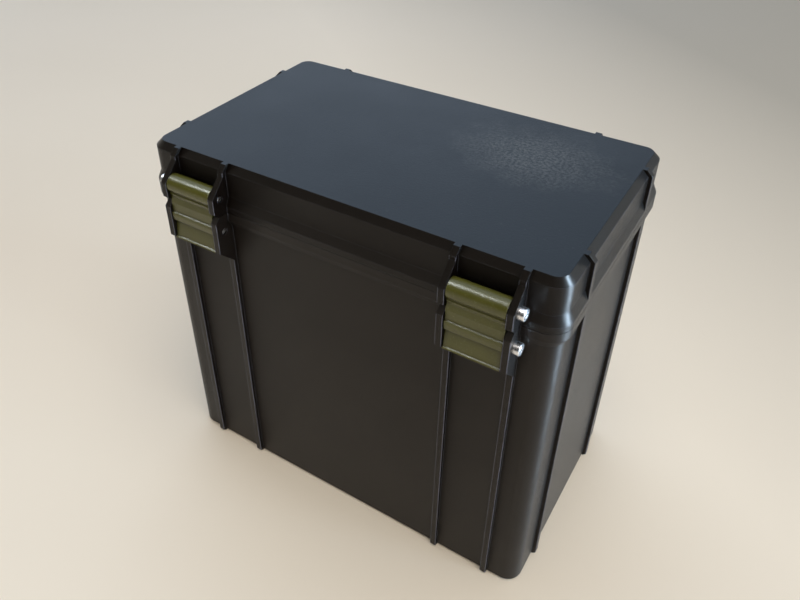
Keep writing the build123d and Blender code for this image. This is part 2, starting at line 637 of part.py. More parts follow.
# ------------------------------------------------------------------ power socket in the left end
def make_socket():
    """A flanged two-pole socket through the left end wall."""
    outside = -HALF_LENGTH
    flange_plan = RectangleRounded(SOCKET_TALL, SOCKET_LONG, 4)
    flange = Pos(outside, 0, SOCKET_HEIGHT) * Rot(0, -90, 0) * extrude(flange_plan, SOCKET_FLANGE)
    half = SOCKET_HALF
    rise = SOCKET_BODY / 2
    body = block(outside, SOCKET_BACK - 3, -half, half, SOCKET_HEIGHT - rise, SOCKET_HEIGHT + rise)
    half -= SOCKET_SKIN
    rise -= SOCKET_SKIN
    mouth = block(outside - 5, outside + 8, -half, half, SOCKET_HEIGHT - rise, SOCKET_HEIGHT + rise)
    socket = flange + body - mouth
    for side in SIDES:
        socket -= cross_cylinder(PIN_RADIUS + 0.05, outside, 0, side * SOCKET_PITCH / 2, SOCKET_HEIGHT)
        y = side * SOCKET_SCREW_Y
        socket -= cross_cylinder(SMALL_CLEARANCE, outside - 5, outside + 5, y, SOCKET_HEIGHT)
        sink = Cone(SMALL_CLEARANCE, 2 * SMALL_CLEARANCE, SOCKET_FLANGE)
        socket -= Pos(outside - SOCKET_FLANGE / 2, y, SOCKET_HEIGHT) * Rot(0, -90, 0) * sink
    return socket


def make_socket_pins():
    """The two contacts, from inside the mouth back to the leads."""
    pins = []
    for side in SIDES:
        y = side * SOCKET_PITCH / 2
        pin = cross_cylinder(PIN_RADIUS, -HALF_LENGTH + 2, SOCKET_BACK, y, SOCKET_HEIGHT)
        pins.append(chamfer(pin.edges().group_by(Axis.X)[0], 0.8))
    return pins


def make_socket_screws():
    """Countersunk screws of the socket flange."""
    screws = []
    for side in SIDES:
        head = Pos(0, 0, SOCKET_FLANGE / 2) * Cone(1.5, 3.1, SOCKET_FLANGE)
        shank = Pos(0, 0, -4.5) * Cylinder(1.5, 9)
        hexagon = RegularPolygon(1.0, 6, major_radius=False)
        recess = Pos(0, 0, SOCKET_FLANGE / 2 + 0.3) * extrude(hexagon, SOCKET_FLANGE)
        place = Pos(-HALF_LENGTH, side * SOCKET_SCREW_Y, SOCKET_HEIGHT)
        screws.append(place * Rot(0, -90, 0) * (head + shank - recess))
    return screws


def make_socket_nuts():
    """Nuts on the socket screws inside the wall."""
    nuts = []
    for side in SIDES:
        nut = extrude(RegularPolygon(2.75, 6, major_radius=False), 2.4) - Cylinder(SCREW_HOLE / 2, 10)
        nuts.append(Pos(-HALF_LENGTH + WALL, side * SOCKET_SCREW_Y, SOCKET_HEIGHT) * Rot(0, 90, 0) * nut)
    return nuts


# ------------------------------------------------------------------ writing the nodes
def save(name, solids):
    """Write one node; a list becomes a group of separate solids."""
    shape = Compound(children=list(solids)) if isinstance(solids, list) else solids
    shape.label = name
    export_step(shape, f"parts/{name}.step")


save("case_body", make_case_body())
save("rim_seal", make_seal())
save("case_lid", make_case_lid())
save("latch_left", make_latch(-LATCH_CENTRE))
save("latch_right", make_latch(LATCH_CENTRE))
save("latch_pivot_screws", [side_screw(s, -LATCH_Y, LATCH_PIVOT[1]) for s in SIDES])
save("latch_catch_screws", [side_screw(s, -LATCH_Y, LATCH_CATCH[1]) for s in SIDES])
save("hinge_screws", [side_screw(s, HINGE_Y, PARTING) for s in SIDES])

for letter, cell_y in zip("abcd", CELL_Y):
    save(f"cell_{letter}", make_cell(cell_y))
save("cell_terminals", make_terminals())
save("terminal_nuts", make_terminal_nuts())
save("busbars", make_busbars())
save("cell_sheets", make_cell_sheets())
save("cell_cradle", make_cell_cradle())
save("hold_down_bar", make_hold_down_bar())
save("hold_down_screws", make_hold_down_screws())

save("protection_board", make_board())
save("board_studs", make_board_studs())
save("board_transistors", make_transistors())
save("board_heat_sink", make_heat_sink())
save("board_screws", make_board_screws())
save("balance_plug", make_balance_plug())
save("fuse_holder", make_fuse_holder())
save("fuse_studs", make_fuse_studs())
save("fuse", make_fuse())
save("fuse_screws", make_fuse_screws())
save("bay_nuts", make_bay_nuts())
save("cable_lugs", make_lugs())

save("lead_cells_to_fuse", cell_lead(CELL_Y[3], FUSE_Z))
save("lead_cells_to_board", cell_lead(CELL_Y[0], BOARD_STUD_Z))
save("lead_fuse_to_socket", socket_lead(FUSE_NEAR, FUSE_Z))
save("lead_board_to_socket", socket_lead(-SOCKET_PITCH / 2, BOARD_STUD_Z))
save("balance_wires", make_balance_wires())

save("power_socket", make_socket())
save("socket_pins", make_socket_pins())
save("socket_screws", make_socket_screws())
save("socket_nuts", make_socket_nuts())
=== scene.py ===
import bmesh
import bpy
import math
from mathutils import Euler, Matrix, Vector


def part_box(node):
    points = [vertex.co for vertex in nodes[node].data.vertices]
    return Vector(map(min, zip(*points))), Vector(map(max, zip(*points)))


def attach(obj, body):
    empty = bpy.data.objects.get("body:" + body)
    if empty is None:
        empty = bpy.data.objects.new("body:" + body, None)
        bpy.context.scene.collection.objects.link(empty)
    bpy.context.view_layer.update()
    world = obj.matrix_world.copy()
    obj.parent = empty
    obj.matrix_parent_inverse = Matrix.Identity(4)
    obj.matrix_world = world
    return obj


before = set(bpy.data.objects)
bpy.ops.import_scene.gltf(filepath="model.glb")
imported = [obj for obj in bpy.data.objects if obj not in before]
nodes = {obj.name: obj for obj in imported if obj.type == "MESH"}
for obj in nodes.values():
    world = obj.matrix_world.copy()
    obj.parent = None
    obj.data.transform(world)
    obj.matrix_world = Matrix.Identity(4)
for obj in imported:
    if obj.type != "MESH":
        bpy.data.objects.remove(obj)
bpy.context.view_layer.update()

MM = 0.001
SIDES = (-1, 1)

# ------------------------------------------------------------------ camera
CAMERA_PLACE = Vector((0.15935, -0.27326, 0.35942))
CAMERA_TURN_DEG = (54.1544, -0.2761, 31.9598)
CAMERA_LENS = 33.81
CAMERA_SHIFT = (0.01655, -0.0617)
SENSOR_WIDTH = 36.0


def make_camera():
    """The camera above the front right corner."""
    data = bpy.data.cameras.new("camera")
    data.lens = CAMERA_LENS
    data.sensor_width = SENSOR_WIDTH
    data.shift_x, data.shift_y = CAMERA_SHIFT
    data.clip_start = 0.01
    data.dof.use_dof = False
    camera = bpy.data.objects.new("camera", data)
    turn = Euler([math.radians(angle) for angle in CAMERA_TURN_DEG], "XYZ")
    camera.matrix_world = Matrix.LocRotScale(CAMERA_PLACE, turn, None)
    bpy.context.scene.collection.objects.link(camera)
    bpy.context.scene.camera = camera


# ------------------------------------------------------------------ material helpers
class Shader:
    """A node tree with one Principled shader, and short calls for its texture nodes."""

    def __init__(self, name):
        self.material = bpy.data.materials.new(name)
        self.material.use_nodes = True
        self.tree = self.material.node_tree
        self.bsdf = self.tree.nodes["Principled BSDF"]
        self.coords = self.add("ShaderNodeTexCoord").outputs["Object"]

    def add(self, kind, **settings):
        node = self.tree.nodes.new(kind)
        for key, value in settings.items():
            setattr(node, key, value)
        return node

    def plug(self, source, target):
        self.tree.links.new(source, target)

    def put(self, socket, value):
        """Feed a socket from another socket or from a constant."""
        if isinstance(value, bpy.types.NodeSocket):
            self.plug(value, socket)
        else:
            socket.default_value = value

    def stretched(self, scale):
        """The object's coordinates, scaled along each axis."""
        mapping = self.add("ShaderNodeMapping")
        self.plug(self.coords, mapping.inputs["Vector"])
        mapping.inputs["Scale"].default_value = scale
        return mapping.outputs["Vector"]

    def noise(self, scale, detail=3.0, rough=0.5, vector=None, distortion=0.0):
        node = self.add("ShaderNodeTexNoise")
        self.plug(vector or self.coords, node.inputs["Vector"])
        node.inputs["Scale"].default_value = scale
        node.inputs["Detail"].default_value = detail
        node.inputs["Roughness"].default_value = rough
        node.inputs["Distortion"].default_value = distortion
        return node.outputs["Fac"]

    def math(self, operation, a, b=0.0, c=0.0):
        node = self.add("ShaderNodeMath", operation=operation)
        self.put(node.inputs[0], a)
        self.put(node.inputs[1], b)
        self.put(node.inputs[2], c)
        return node.outputs[0]

    def times(self, a, b):
        return self.math("MULTIPLY", a, b)

    def span(self, value, low, high, out_low=0.0, out_high=1.0):
        """Map a range of values to another, clamped."""
        node = self.add("ShaderNodeMapRange")
        self.put(node.inputs["Value"], value)
        self.put(node.inputs["From Min"], low)
        self.put(node.inputs["From Max"], high)
        self.put(node.inputs["To Min"], out_low)
        self.put(node.inputs["To Max"], out_high)
        return node.outputs["Result"]

    def patches(self, scale, rough=0.6):
        """Soft-edged patches, from 0 to 1."""
        return self.span(self.noise(scale, 4.0, rough), 0.35, 0.7)

    def blend(self, factor, a, b, mode="MIX"):
        """Lay colour b over colour a."""
        node = self.add("ShaderNodeMix", data_type="RGBA", blend_type=mode)
        self.put(node.inputs["Factor"], factor)
        self.put(node.inputs["A"], rgba(a))
        self.put(node.inputs["B"], rgba(b))
        return node.outputs["Result"]

    def part_of(self, vector, name):
        """One component of a vector."""
        split = self.add("ShaderNodeSeparateXYZ")
        self.plug(vector, split.inputs[0])
        return split.outputs[name]

    def axis(self, name):
        return self.part_of(self.coords, name)

    def turned(self, normal, start, end):
        """A normal taken from world axes to object axes, or back."""
        node = self.add("ShaderNodeVectorTransform", vector_type="NORMAL", convert_from=start, convert_to=end)
        self.plug(normal, node.inputs[0])
        return node.outputs[0]

    def facing_up(self):
        """How far the flat surface looks straight up, or down below 0, in the object's own axes."""
        geometry = self.add("ShaderNodeNewGeometry")
        return self.part_of(self.turned(geometry.outputs["True Normal"], "WORLD", "OBJECT"), "Z")

    def soft_edges(self, radius):
        """Normal with its edges rounded, for the shader."""
        node = self.add("ShaderNodeBevel", samples=4)
        node.inputs["Radius"].default_value = radius
        return node.outputs["Normal"]

    def open_air(self, reach):
        """1 on open faces, less in grooves and inner corners."""
        node = self.add("ShaderNodeAmbientOcclusion", samples=4)
        node.inputs["Distance"].default_value = reach
        return node.outputs["AO"]

    def edge_mask(self, radius):
        """1 along sharp edges and 0 elsewhere."""
        geometry = self.add("ShaderNodeNewGeometry")
        dot = self.add("ShaderNodeVectorMath", operation="DOT_PRODUCT")
        self.plug(self.soft_edges(radius), dot.inputs[0])
        self.plug(geometry.outputs["Normal"], dot.inputs[1])
        return self.span(dot.outputs["Value"], 0.985, 0.90)

    def upright_only(self, radius):
        """1 where the rounded normal is level, 0 where it leans up or down."""
        lean = self.part_of(self.turned(self.soft_edges(radius), "WORLD", "OBJECT"), "Z")
        return self.span(self.math("ABSOLUTE", lean), 0.25, 0.10)

    def steepened(self, normal, amount):
        """A normal leant towards the horizontal, as the small steps of a printed slope lean."""
        squeeze = self.add("ShaderNodeCombineXYZ")
        squeeze.inputs["X"].default_value = 1.0
        squeeze.inputs["Y"].default_value = 1.0
        self.plug(self.math("SUBTRACT", 1.0, amount), squeeze.inputs["Z"])
        scaled = self.add("ShaderNodeVectorMath", operation="MULTIPLY")
        self.plug(self.turned(normal, "WORLD", "OBJECT"), scaled.inputs[0])
        self.plug(squeeze.outputs[0], scaled.inputs[1])
        whole = self.add("ShaderNodeVectorMath", operation="NORMALIZE")
        self.plug(scaled.outputs[0], whole.inputs[0])
        return self.turned(whole.outputs[0], "OBJECT", "WORLD")

    def bump(self, height, strength, distance, normal=None):
        node = self.add("ShaderNodeBump")
        self.put(node.inputs["Height"], height)
        node.inputs["Strength"].default_value = strength
        node.inputs["Distance"].default_value = distance
        if normal is not None:
            self.plug(normal, node.inputs["Normal"])
        return node.outputs["Normal"]

    def finish(self, colour, roughness, normal=None, **constants):
        """Plug everything into the shader and hand over the material."""
        self.put(self.bsdf.inputs["Base Color"], rgba(colour))
        self.put(self.bsdf.inputs["Roughness"], roughness)
        if normal is not None:
            self.plug(normal, self.bsdf.inputs["Normal"])
        for key, value in constants.items():
            self.bsdf.inputs[key.replace("_", " ")].default_value = value
        return self.material


def rgba(colour):
    """A colour as a socket takes it, or the socket that it comes from."""
    if isinstance(colour, bpy.types.NodeSocket):
        return colour
    return (*colour, 1.0) if len(colour) == 3 else colour


def shade(colour, factor, lift=0.0):
    """A colour made darker or lighter."""
    return [min(1.0, c * factor + lift) for c in colour]


# ------------------------------------------------------------------ printed plastic
LAYER = 0.2 * MM
LAYER_WANDER = 0.35
EDGE_ROUNDING = 0.6 * MM
# Painted highlight: a pale bluish colour laid along the outer edges of the printed parts.
EDGE_PAINTED_HIGHLIGHT = (0.30, 0.32, 0.42)
EDGE_POLISH = 0.45
CREASE_REACH = 2.5 * MM
# Painted shade: the tint multiplied into creases and inner corners.
CREASE_PAINTED_SHADE = (0.30, 0.28, 0.22)
RUBBED_CENTRE = (0.055, 0.022, 0.0)
RUBBED_SCALE = (18.0, 26.0, 0.0)


def print_layers(shader):
    """Height of the printed layers: fine ridges one above the other, a little uneven."""
    s = shader
    phase = s.times(s.axis("Z"), 2 * math.pi / LAYER)
    phase = s.math("MULTIPLY_ADD", s.noise(45.0, 0.0), LAYER_WANDER * 2 * math.pi, phase)
    ridges = s.math("SINE", phase)
    uneven = s.noise(1.0, 2.0, 0.6, s.stretched((9.0, 9.0, 700.0)))
    return s.math("MULTIPLY_ADD", uneven, 1.2, ridges)


def outer_edges(shader, air, width, upright):
    """Where the painted edge highlight goes: 1 along the outer edges, broken into specks, and on upright
    edges alone if asked.
    """
    s = shader
    specks = s.span(s.noise(260.0, 3.0), 0.3, 0.6, 0.6, 1.0)
    edges = s.times(s.edge_mask(width), specks)
    edges = s.times(edges, s.span(air, 0.60, 0.85))
    return s.times(edges, s.upright_only(width)) if upright else edges


def printed_normal(shader, layer_slope, grain_height, steps):
    """Rounded edges, stepped slopes, layer ridges on the sides and grain on the flat faces."""
    s = shader
    level = s.math("ABSOLUTE", s.facing_up())
    sloping = s.times(s.span(level, 0.25, 0.4), s.span(level, 0.97, 0.9))
    stepped = s.steepened(s.soft_edges(EDGE_ROUNDING), s.times(sloping, steps))
    ridges = s.times(print_layers(s), s.span(level, 0.9, 0.6))
    lined = s.bump(ridges, 1.0, layer_slope * LAYER / (2 * math.pi), stepped)
    grain = s.noise(1500.0, 4.0, 0.7)
    if steps:
        grain = s.times(grain, s.span(level, 0.90, 0.97, 0.12, 1.0))
    return s.bump(grain, 1.0, grain_height, lined)


def printed_surface(shader, colour, edge_highlight_paint, rough, layer_slope, grain_height, index=1.30, steps=0.85):
    """Finish a printed part: painted shade in creases, a painted highlight on outer edges, layers and grain.

    Steps is how far the small steps of a slope lean its normal. At 0, as on the latches, the grain covers
    every face and the painted highlight every edge.
    """
    s = shader
    air = s.open_air(CREASE_REACH)
    edges = outer_edges(s, air, EDGE_ROUNDING if steps else 0.5 * MM, upright=steps > 0)
    # Painted highlight: the outer edges are lightened towards the edge highlight colour.
    colour = s.blend(edges, colour, edge_highlight_paint)
    # Painted shade: colour darkened in creases and inner corners, where less light reaches.
    colour = s.blend(s.span(air, 0.96, 0.60, 0.0, 0.8), colour, CREASE_PAINTED_SHADE, "MULTIPLY")
    drift = s.math("ADD", s.span(s.noise(35.0, 2.0), 0.2, 0.8, -0.03, 0.04), rough)
    polish = s.math("SUBTRACT", 1.0, s.times(edges, EDGE_POLISH))
    normal = printed_normal(s, layer_slope, grain_height, steps)
    return s.finish(colour, s.times(drift, polish), normal, IOR=index)


def printed_black():
    """The black plastic of the case, slightly streaked along its layers."""
    s = Shader("printed_black_case")
    dark, light, pale_streak = (0.0078, 0.0049, 0.0036), (0.0115, 0.0080, 0.0062), (0.014, 0.0115, 0.0100)
    streaks = s.span(s.noise(1.0, 2.0, 0.5, s.stretched((3.0, 3.0, 420.0))), 0.35, 0.65)
    colour = s.blend(s.patches(22.0), dark, light)
    colour = s.blend(s.times(streaks, 0.35), colour, pale_streak)
    return printed_surface(s, colour, EDGE_PAINTED_HIGHLIGHT, rough=0.30, layer_slope=0.46, grain_height=0.03 * MM)


def rubbed_patch(shader):
    """1 in the cracks of a ragged patch on the lid, which fades out round its centre."""
    s = shader
    place = s.add("ShaderNodeMapping")
    s.plug(s.coords, place.inputs["Vector"])
    place.inputs["Location"].default_value = [-c * k for c, k in zip(RUBBED_CENTRE, RUBBED_SCALE)]
    place.inputs["Scale"].default_value = RUBBED_SCALE
    gradient = s.add("ShaderNodeTexGradient", gradient_type="SPHERICAL")
    s.plug(place.outputs["Vector"], gradient.inputs["Vector"])
    fading = s.math("SUBTRACT", gradient.outputs["Fac"], 0.5)
    ragged = s.math("MULTIPLY_ADD", s.noise(90.0, 5.0, 0.7), 0.9, fading)
    crackle = s.span(s.noise(700.0, 4.0, 0.75), 0.42, 0.60)
    return s.times(s.span(ragged, 0.15, 0.75), crackle)


def lid_plastic():
    """The lid: the case's plastic, darker as painted shade, a painted bluish reflection on its grained top,
    dust and a rubbed patch.
    """
    s = Shader("printed_black_lid")
    # Painted shade: dark and light here are darker than the case's same plastic, for the darker light on the
    # lid.
    dark, light, top_painted_reflection = (0.0040, 0.0022, 0.0014), (0.0060, 0.0036, 0.0026), (0.010, 0.016, 0.023)
    pale_rub, pale_dust = (0.085, 0.095, 0.100), (0.12, 0.13, 0.13)
    top = s.span(s.facing_up(), 0.95, 0.99)
    worn = s.times(rubbed_patch(s), top)
    dust = s.times(s.span(s.noise(900.0, 1.0), 0.73, 0.80), top)
    colour = s.blend(s.patches(22.0), dark, light)
    # Painted reflection: the top face is tinted bluish for the pale blue wall mirrored in it.
    colour = s.blend(top, colour, top_painted_reflection)
    colour = s.blend(s.times(worn, 0.75), colour, pale_rub)
    colour = s.blend(s.times(dust, 0.3), colour, pale_dust)
    rough = s.span(top, 0.0, 1.0, 0.30, 0.42)
    return printed_surface(s, colour, EDGE_PAINTED_HIGHLIGHT, rough, layer_slope=0.46, grain_height=0.10 * MM)


def printed_olive():
    """The olive plastic of the latches, glossier than the case, with pale specks."""
    s = Shader("printed_olive_latch")
    dark, light, pale_speck = (0.066, 0.066, 0.011), (0.084, 0.084, 0.015), (0.22, 0.23, 0.10)
    # Painted highlight laid along the latch's edges.
    edge_highlight_paint = (0.20, 0.20, 0.09)
    specks = s.span(s.noise(1700.0, 2.0), 0.60, 0.74)
    colour = s.blend(s.patches(30.0), dark, light)
    colour = s.blend(s.times(specks, 0.25), colour, pale_speck)
    return printed_surface(s, colour, edge_highlight_paint, rough=0.25, layer_slope=0.10, grain_height=0.07 * MM,
                           index=1.5, steps=0.0)


def printed_grey():
    """The grey plastic of the pieces inside."""
    s = Shader("printed_grey_cradle")
    # The last colour is a painted highlight laid along the edges.
    dark, light, edge_highlight_paint = (0.035, 0.036, 0.038), (0.050, 0.051, 0.054), (0.12, 0.12, 0.13)
    colour = s.blend(s.patches(30.0), dark, light)
    return printed_surface(s, colour, edge_highlight_paint, rough=0.48, layer_slope=0.40, grain_height=0.04 * MM)


# ------------------------------------------------------------------ the other materials
FILM_SEAM_HEIGHT = 67 * MM
WEAVE_PITCH = 0.8 * MM
TRACK_PITCH_Y = 3.2 * MM
TRACK_PITCH_Z = 4.1 * MM
WIRE_COLOURS = [(0.01, 0.01, 0.012), (0.5, 0.42, 0.02), (0.02, 0.12, 0.5),
                (0.6, 0.6, 0.58), (0.5, 0.02, 0.02)]


def plated_steel():
    """Turned and plated steel with fine rings and a trace of grime."""
    s = Shader("plated_steel")
    tint = (0.82, 0.82, 0.84)
    rings = s.noise(1.0, 2.0, 0.5, s.stretched((6000.0, 200.0, 200.0)))
    grime = s.span(s.noise(500.0, 4.0, 0.7), 0.5, 0.8)
    colour = s.blend(s.times(grime, 0.15), tint, shade(tint, 0.45))
    normal = s.bump(rings, 0.10, 0.01 * MM, s.soft_edges(0.15 * MM))
    return s.finish(colour, s.span(grime, 0.0, 1.0, 0.27, 0.39), normal, Metallic=1.0)


def bare_metal(name, colour, rough, brushed=(40.0, 900.0, 900.0)):
    """Brushed bare metal with tarnish."""
    s = Shader(name)
    lines = s.noise(1.0, 3.0, 0.6, s.stretched(brushed))
    tarnish = s.span(s.noise(120.0, 5.0, 0.7), 0.4, 0.75)
    tint = s.blend(s.times(tarnish, 0.6), colour, shade(colour, 0.5))
    normal = s.bump(lines, 0.25, 0.03 * MM, s.soft_edges(0.25 * MM))
    return s.finish(tint, s.span(tarnish, 0.0, 1.0, rough, rough + 0.18), normal, Metallic=1.0)


def soft_rubber(name, colour, rough=0.6):
    """Silicone or rubber with a faint bloom."""
    s = Shader(name)
    bloom = s.span(s.noise(160.0, 4.0, 0.6), 0.4, 0.75)
    tint = s.blend(s.times(bloom, 0.35), colour, shade(colour, 1.6, 0.02))
    normal = s.bump(s.noise(2500.0, 2.0), 0.2, 0.05 * MM)
    return s.finish(tint, s.span(bloom, 0.0, 1.0, rough - 0.08, rough + 0.1), normal)


def moulded(name, colour, rough=0.4, edge=1.6):
    """Injection-moulded plastic with a fine spark texture and a painted highlight along its edges."""
    s = Shader(name)
    patches = s.patches(60.0, 0.5)
    tint = s.blend(patches, colour, shade(colour, 1.25, 0.002))
    # Painted highlight: edges lightened by the edge factor.
    tint = s.blend(s.times(s.edge_mask(0.3 * MM), 0.5), tint, shade(colour, edge, 0.02))
    normal = s.bump(s.noise(3000.0, 2.0), 0.3, 0.05 * MM, s.soft_edges(0.3 * MM))
    return s.finish(tint, s.span(patches, 0.0, 1.0, rough - 0.05, rough + 0.08), normal)


def cell_film():
    """Blue insulating film, shrunk over the can: glossy, with faint wrinkles and a welded seam."""
    s = Shader("cell_film")
    wrinkles = s.noise(55.0, 4.0, 0.6, s.stretched((0.35, 1.0, 1.0)), 0.6)
    seam = s.math("COMPARE", s.axis("Z"), FILM_SEAM_HEIGHT, 1.2 * MM)
    colour = s.blend(s.span(wrinkles, 0.35, 0.7), (0.012, 0.055, 0.24), (0.03, 0.10, 0.36))
    colour = s.blend(s.times(seam, 0.5), colour, (0.01, 0.03, 0.14))
    height = s.math("MULTIPLY_ADD", s.noise(420.0, 3.0, 0.6), 0.25, wrinkles)
    normal = s.bump(height, 0.35, 0.5 * MM, s.soft_edges(0.8 * MM))
    return s.finish(colour, s.span(wrinkles, 0.3, 0.7, 0.22, 0.36), normal, Coat_Weight=0.3)


def glass_fibre():
    """Pale glass-fibre sheet with a woven ground."""
    s = Shader("glass_fibre_sheet")
    warp = s.math("SINE", s.times(s.axis("X"), 2 * math.pi / WEAVE_PITCH))
    weft = s.math("SINE", s.times(s.axis("Z"), 2 * math.pi / WEAVE_PITCH))
    weave = s.times(warp, weft)
    colour = s.blend(s.span(weave, -1.0, 1.0), (0.42, 0.40, 0.22), (0.55, 0.52, 0.32))
    return s.finish(colour, s.span(s.noise(90.0), 0.3, 0.7, 0.35, 0.5), s.bump(weave, 0.2, 0.03 * MM))


def circuit_board():
    """Green solder resist with copper tracks under it, upright in some bands and level in others."""
    s = Shader("circuit_board")
    upright = s.math("LESS_THAN", s.math("FRACT", s.times(s.axis("Y"), 1 / TRACK_PITCH_Y)), 0.45)
    level = s.math("LESS_THAN", s.math("FRACT", s.times(s.axis("Z"), 1 / TRACK_PITCH_Z)), 0.45)
    bands = s.span(s.noise(70.0, 0.0, 0.0, s.stretched((0.0, 1.0, 1.0))), 0.49, 0.51)
    between = s.math("SUBTRACT", 1.0, bands)
    track = s.math("ADD", s.times(upright, bands), s.times(level, between))
    colour = s.blend(track, (0.008, 0.075, 0.030), (0.018, 0.150, 0.055))
    height = s.math("MULTIPLY_ADD", s.noise(1500.0), 0.3, track)
    return s.finish(colour, s.span(s.noise(200.0), 0.3, 0.7, 0.25, 0.4), s.bump(height, 0.3, 0.05 * MM))


def striped_wires():
    """Thin wires whose colour changes from lane to lane across the plug."""
    s = Shader("balance_wire_insulation")
    plug_low, plug_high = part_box("balance_plug")
    ramp = s.add("ShaderNodeValToRGB")
    ramp.color_ramp.interpolation = "CONSTANT"
    s.plug(s.span(s.axis("Y"), plug_low[1] + 0.2 * MM, plug_high[1]), ramp.inputs["Fac"])
    stops = ramp.color_ramp.elements
    stops[1].position = 1 / len(WIRE_COLOURS)
    for k, colour in enumerate(WIRE_COLOURS):
        stop = stops[k] if k < 2 else stops.new(k / len(WIRE_COLOURS))
        stop.color = rgba(colour)
    bloom = s.noise(300.0, 3.0)
    return s.finish(ramp.outputs["Color"], s.span(bloom, 0.3, 0.7, 0.4, 0.55), s.bump(bloom, 0.2, 0.03 * MM))


def give(material, *names):
    """Give CAD nodes a material."""
    for name in names:
        for slot in nodes[name].material_slots:
            slot.material = material


def dress_cad_nodes():
    give(printed_black(), "case_body")
    give(lid_plastic(), "case_lid")
    give(printed_olive(), "latch_left", "latch_right")
    give(plated_steel(), "latch_pivot_screws", "latch_catch_screws", "hinge_screws", "hold_down_screws",
         "board_screws", "fuse_screws", "socket_screws", "socket_nuts", "terminal_nuts", "bay_nuts")
    give(printed_grey(), "cell_cradle", "hold_down_bar")
    give(soft_rubber("seal_rubber", (0.020, 0.020, 0.022)), "rim_seal")
    give(cell_film(), "cell_a", "cell_b", "cell_c", "cell_d")
    give(bare_metal("terminal_aluminium", (0.78, 0.78, 0.80), 0.28), "cell_terminals")
    give(bare_metal("busbar_copper", (0.86, 0.42, 0.26), 0.25), "busbars")
    give(glass_fibre(), "cell_sheets")
    give(circuit_board(), "protection_board")
    give(bare_metal("plated_brass", (0.86, 0.68, 0.38), 0.22), "board_studs", "fuse_studs", "socket_pins")
    give(moulded("transistor_epoxy", (0.012, 0.012, 0.013), 0.35), "board_transistors")
    give(bare_metal("sink_aluminium", (0.34, 0.35, 0.37), 0.38, (900.0, 900.0, 40.0)), "board_heat_sink")
    give(moulded("plug_ivory", (0.62, 0.58, 0.48), 0.45, 1.2), "balance_plug")
    give(moulded("holder_black", (0.016, 0.016, 0.018), 0.38), "fuse_holder", "power_socket")
    give(moulded("fuse_orange", (0.62, 0.26, 0.03), 0.3), "fuse")
    give(bare_metal("tinned_lug", (0.72, 0.72, 0.74), 0.26), "cable_lugs")
    red, black = (0.36, 0.012, 0.010), (0.016, 0.016, 0.018)
    give(soft_rubber("lead_red", red, 0.45), "lead_cells_to_fuse", "lead_fuse_to_socket")
    give(soft_rubber("lead_black", black, 0.45), "lead_cells_to_board", "lead_board_to_socket")
    give(striped_wires(), "balance_wires")


# ------------------------------------------------------------------ mesh helpers
def make_piece(name, bm, material):
    """Turn a bmesh into a piece that stays with the case."""
    bmesh.ops.recalc_face_normals(bm, faces=bm.faces)
    mesh = bpy.data.meshes.new(name)
    bm.to_mesh(mesh)
    bm.free()
    mesh.shade_smooth()
    mesh.set_sharp_from_angle(angle=math.radians(35))
    mesh.materials.append(material)
    piece = bpy.data.objects.new(name, mesh)
    bpy.context.scene.collection.objects.link(piece)
    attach(piece, "case")


def join_loops(bm, loops):
    """Skin closed loops of points, one to the next and the last to the first."""
    rings = [[bm.verts.new(point) for point in loop] for loop in loops]
    for ring, following in zip(rings, rings[1:] + rings[:1]):
        for k in range(len(ring)):
            after = (k + 1) % len(ring)
            bm.faces.new((ring[k], ring[after], following[after], following[k]))


def tube(bm, start, direction, profile, sides=32):
    """A body turned round a line, from a closed profile of distance along and radius."""
    turn = direction.to_track_quat("Z", "Y").to_matrix()
    angles = [2 * math.pi * k / sides for k in range(sides)]
    loops = []
    for along, radius in profile:
        ring = [Vector((radius * math.cos(a), radius * math.sin(a), along)) for a in angles]
        loops.append([start + turn @ point for point in ring])
    join_loops(bm, loops)


def rounded_outline(half_x, half_y, radius, steps=6):
    """Points round a rectangle with rounded corners."""
    points = []
    for corner, (sx, sy) in enumerate([(1, 1), (-1, 1), (-1, -1), (1, -1)]):
        for k in range(steps + 1):
            angle = math.pi / 2 * (corner + k / steps)
            x = sx * (half_x - radius) + radius * math.cos(angle)
            y = sy * (half_y - radius) + radius * math.sin(angle)
            points.append((x, y))
    return points


def frame_ring(bm, middle, half_x, half_y, thick, height, radius):
    """A band standing on its edge round a rectangle, its top edges broken."""
    broken = min(thick, height) * 0.25
    sections = [(thick, 0.0), (thick, height - broken), (thick - broken, height), (broken, height),
                (0.0, height - broken), (0.0, 0.0)]
    loops = []
    for out, rise in sections:
        outline = rounded_outline(half_x + out, half_y + out, radius + out)
        loops.append([middle + Vector((x, y, rise)) for x, y in outline])
    join_loops(bm, loops)


def rounded_block(bm, low, high, rounding):
    """A block with all its edges rounded."""
    corners = bmesh.ops.create_cube(bm, size=1.0)["verts"]
    for corner in corners:
        corner.co = Vector(c * (b - a) + (a + b) / 2 for c, a, b in zip(corner.co, low, high))
    edges = list({edge for corner in corners for edge in corner.link_edges})
    bmesh.ops.bevel(bm, geom=edges, offset=rounding, segments=3, profile=0.5, affect="EDGES")


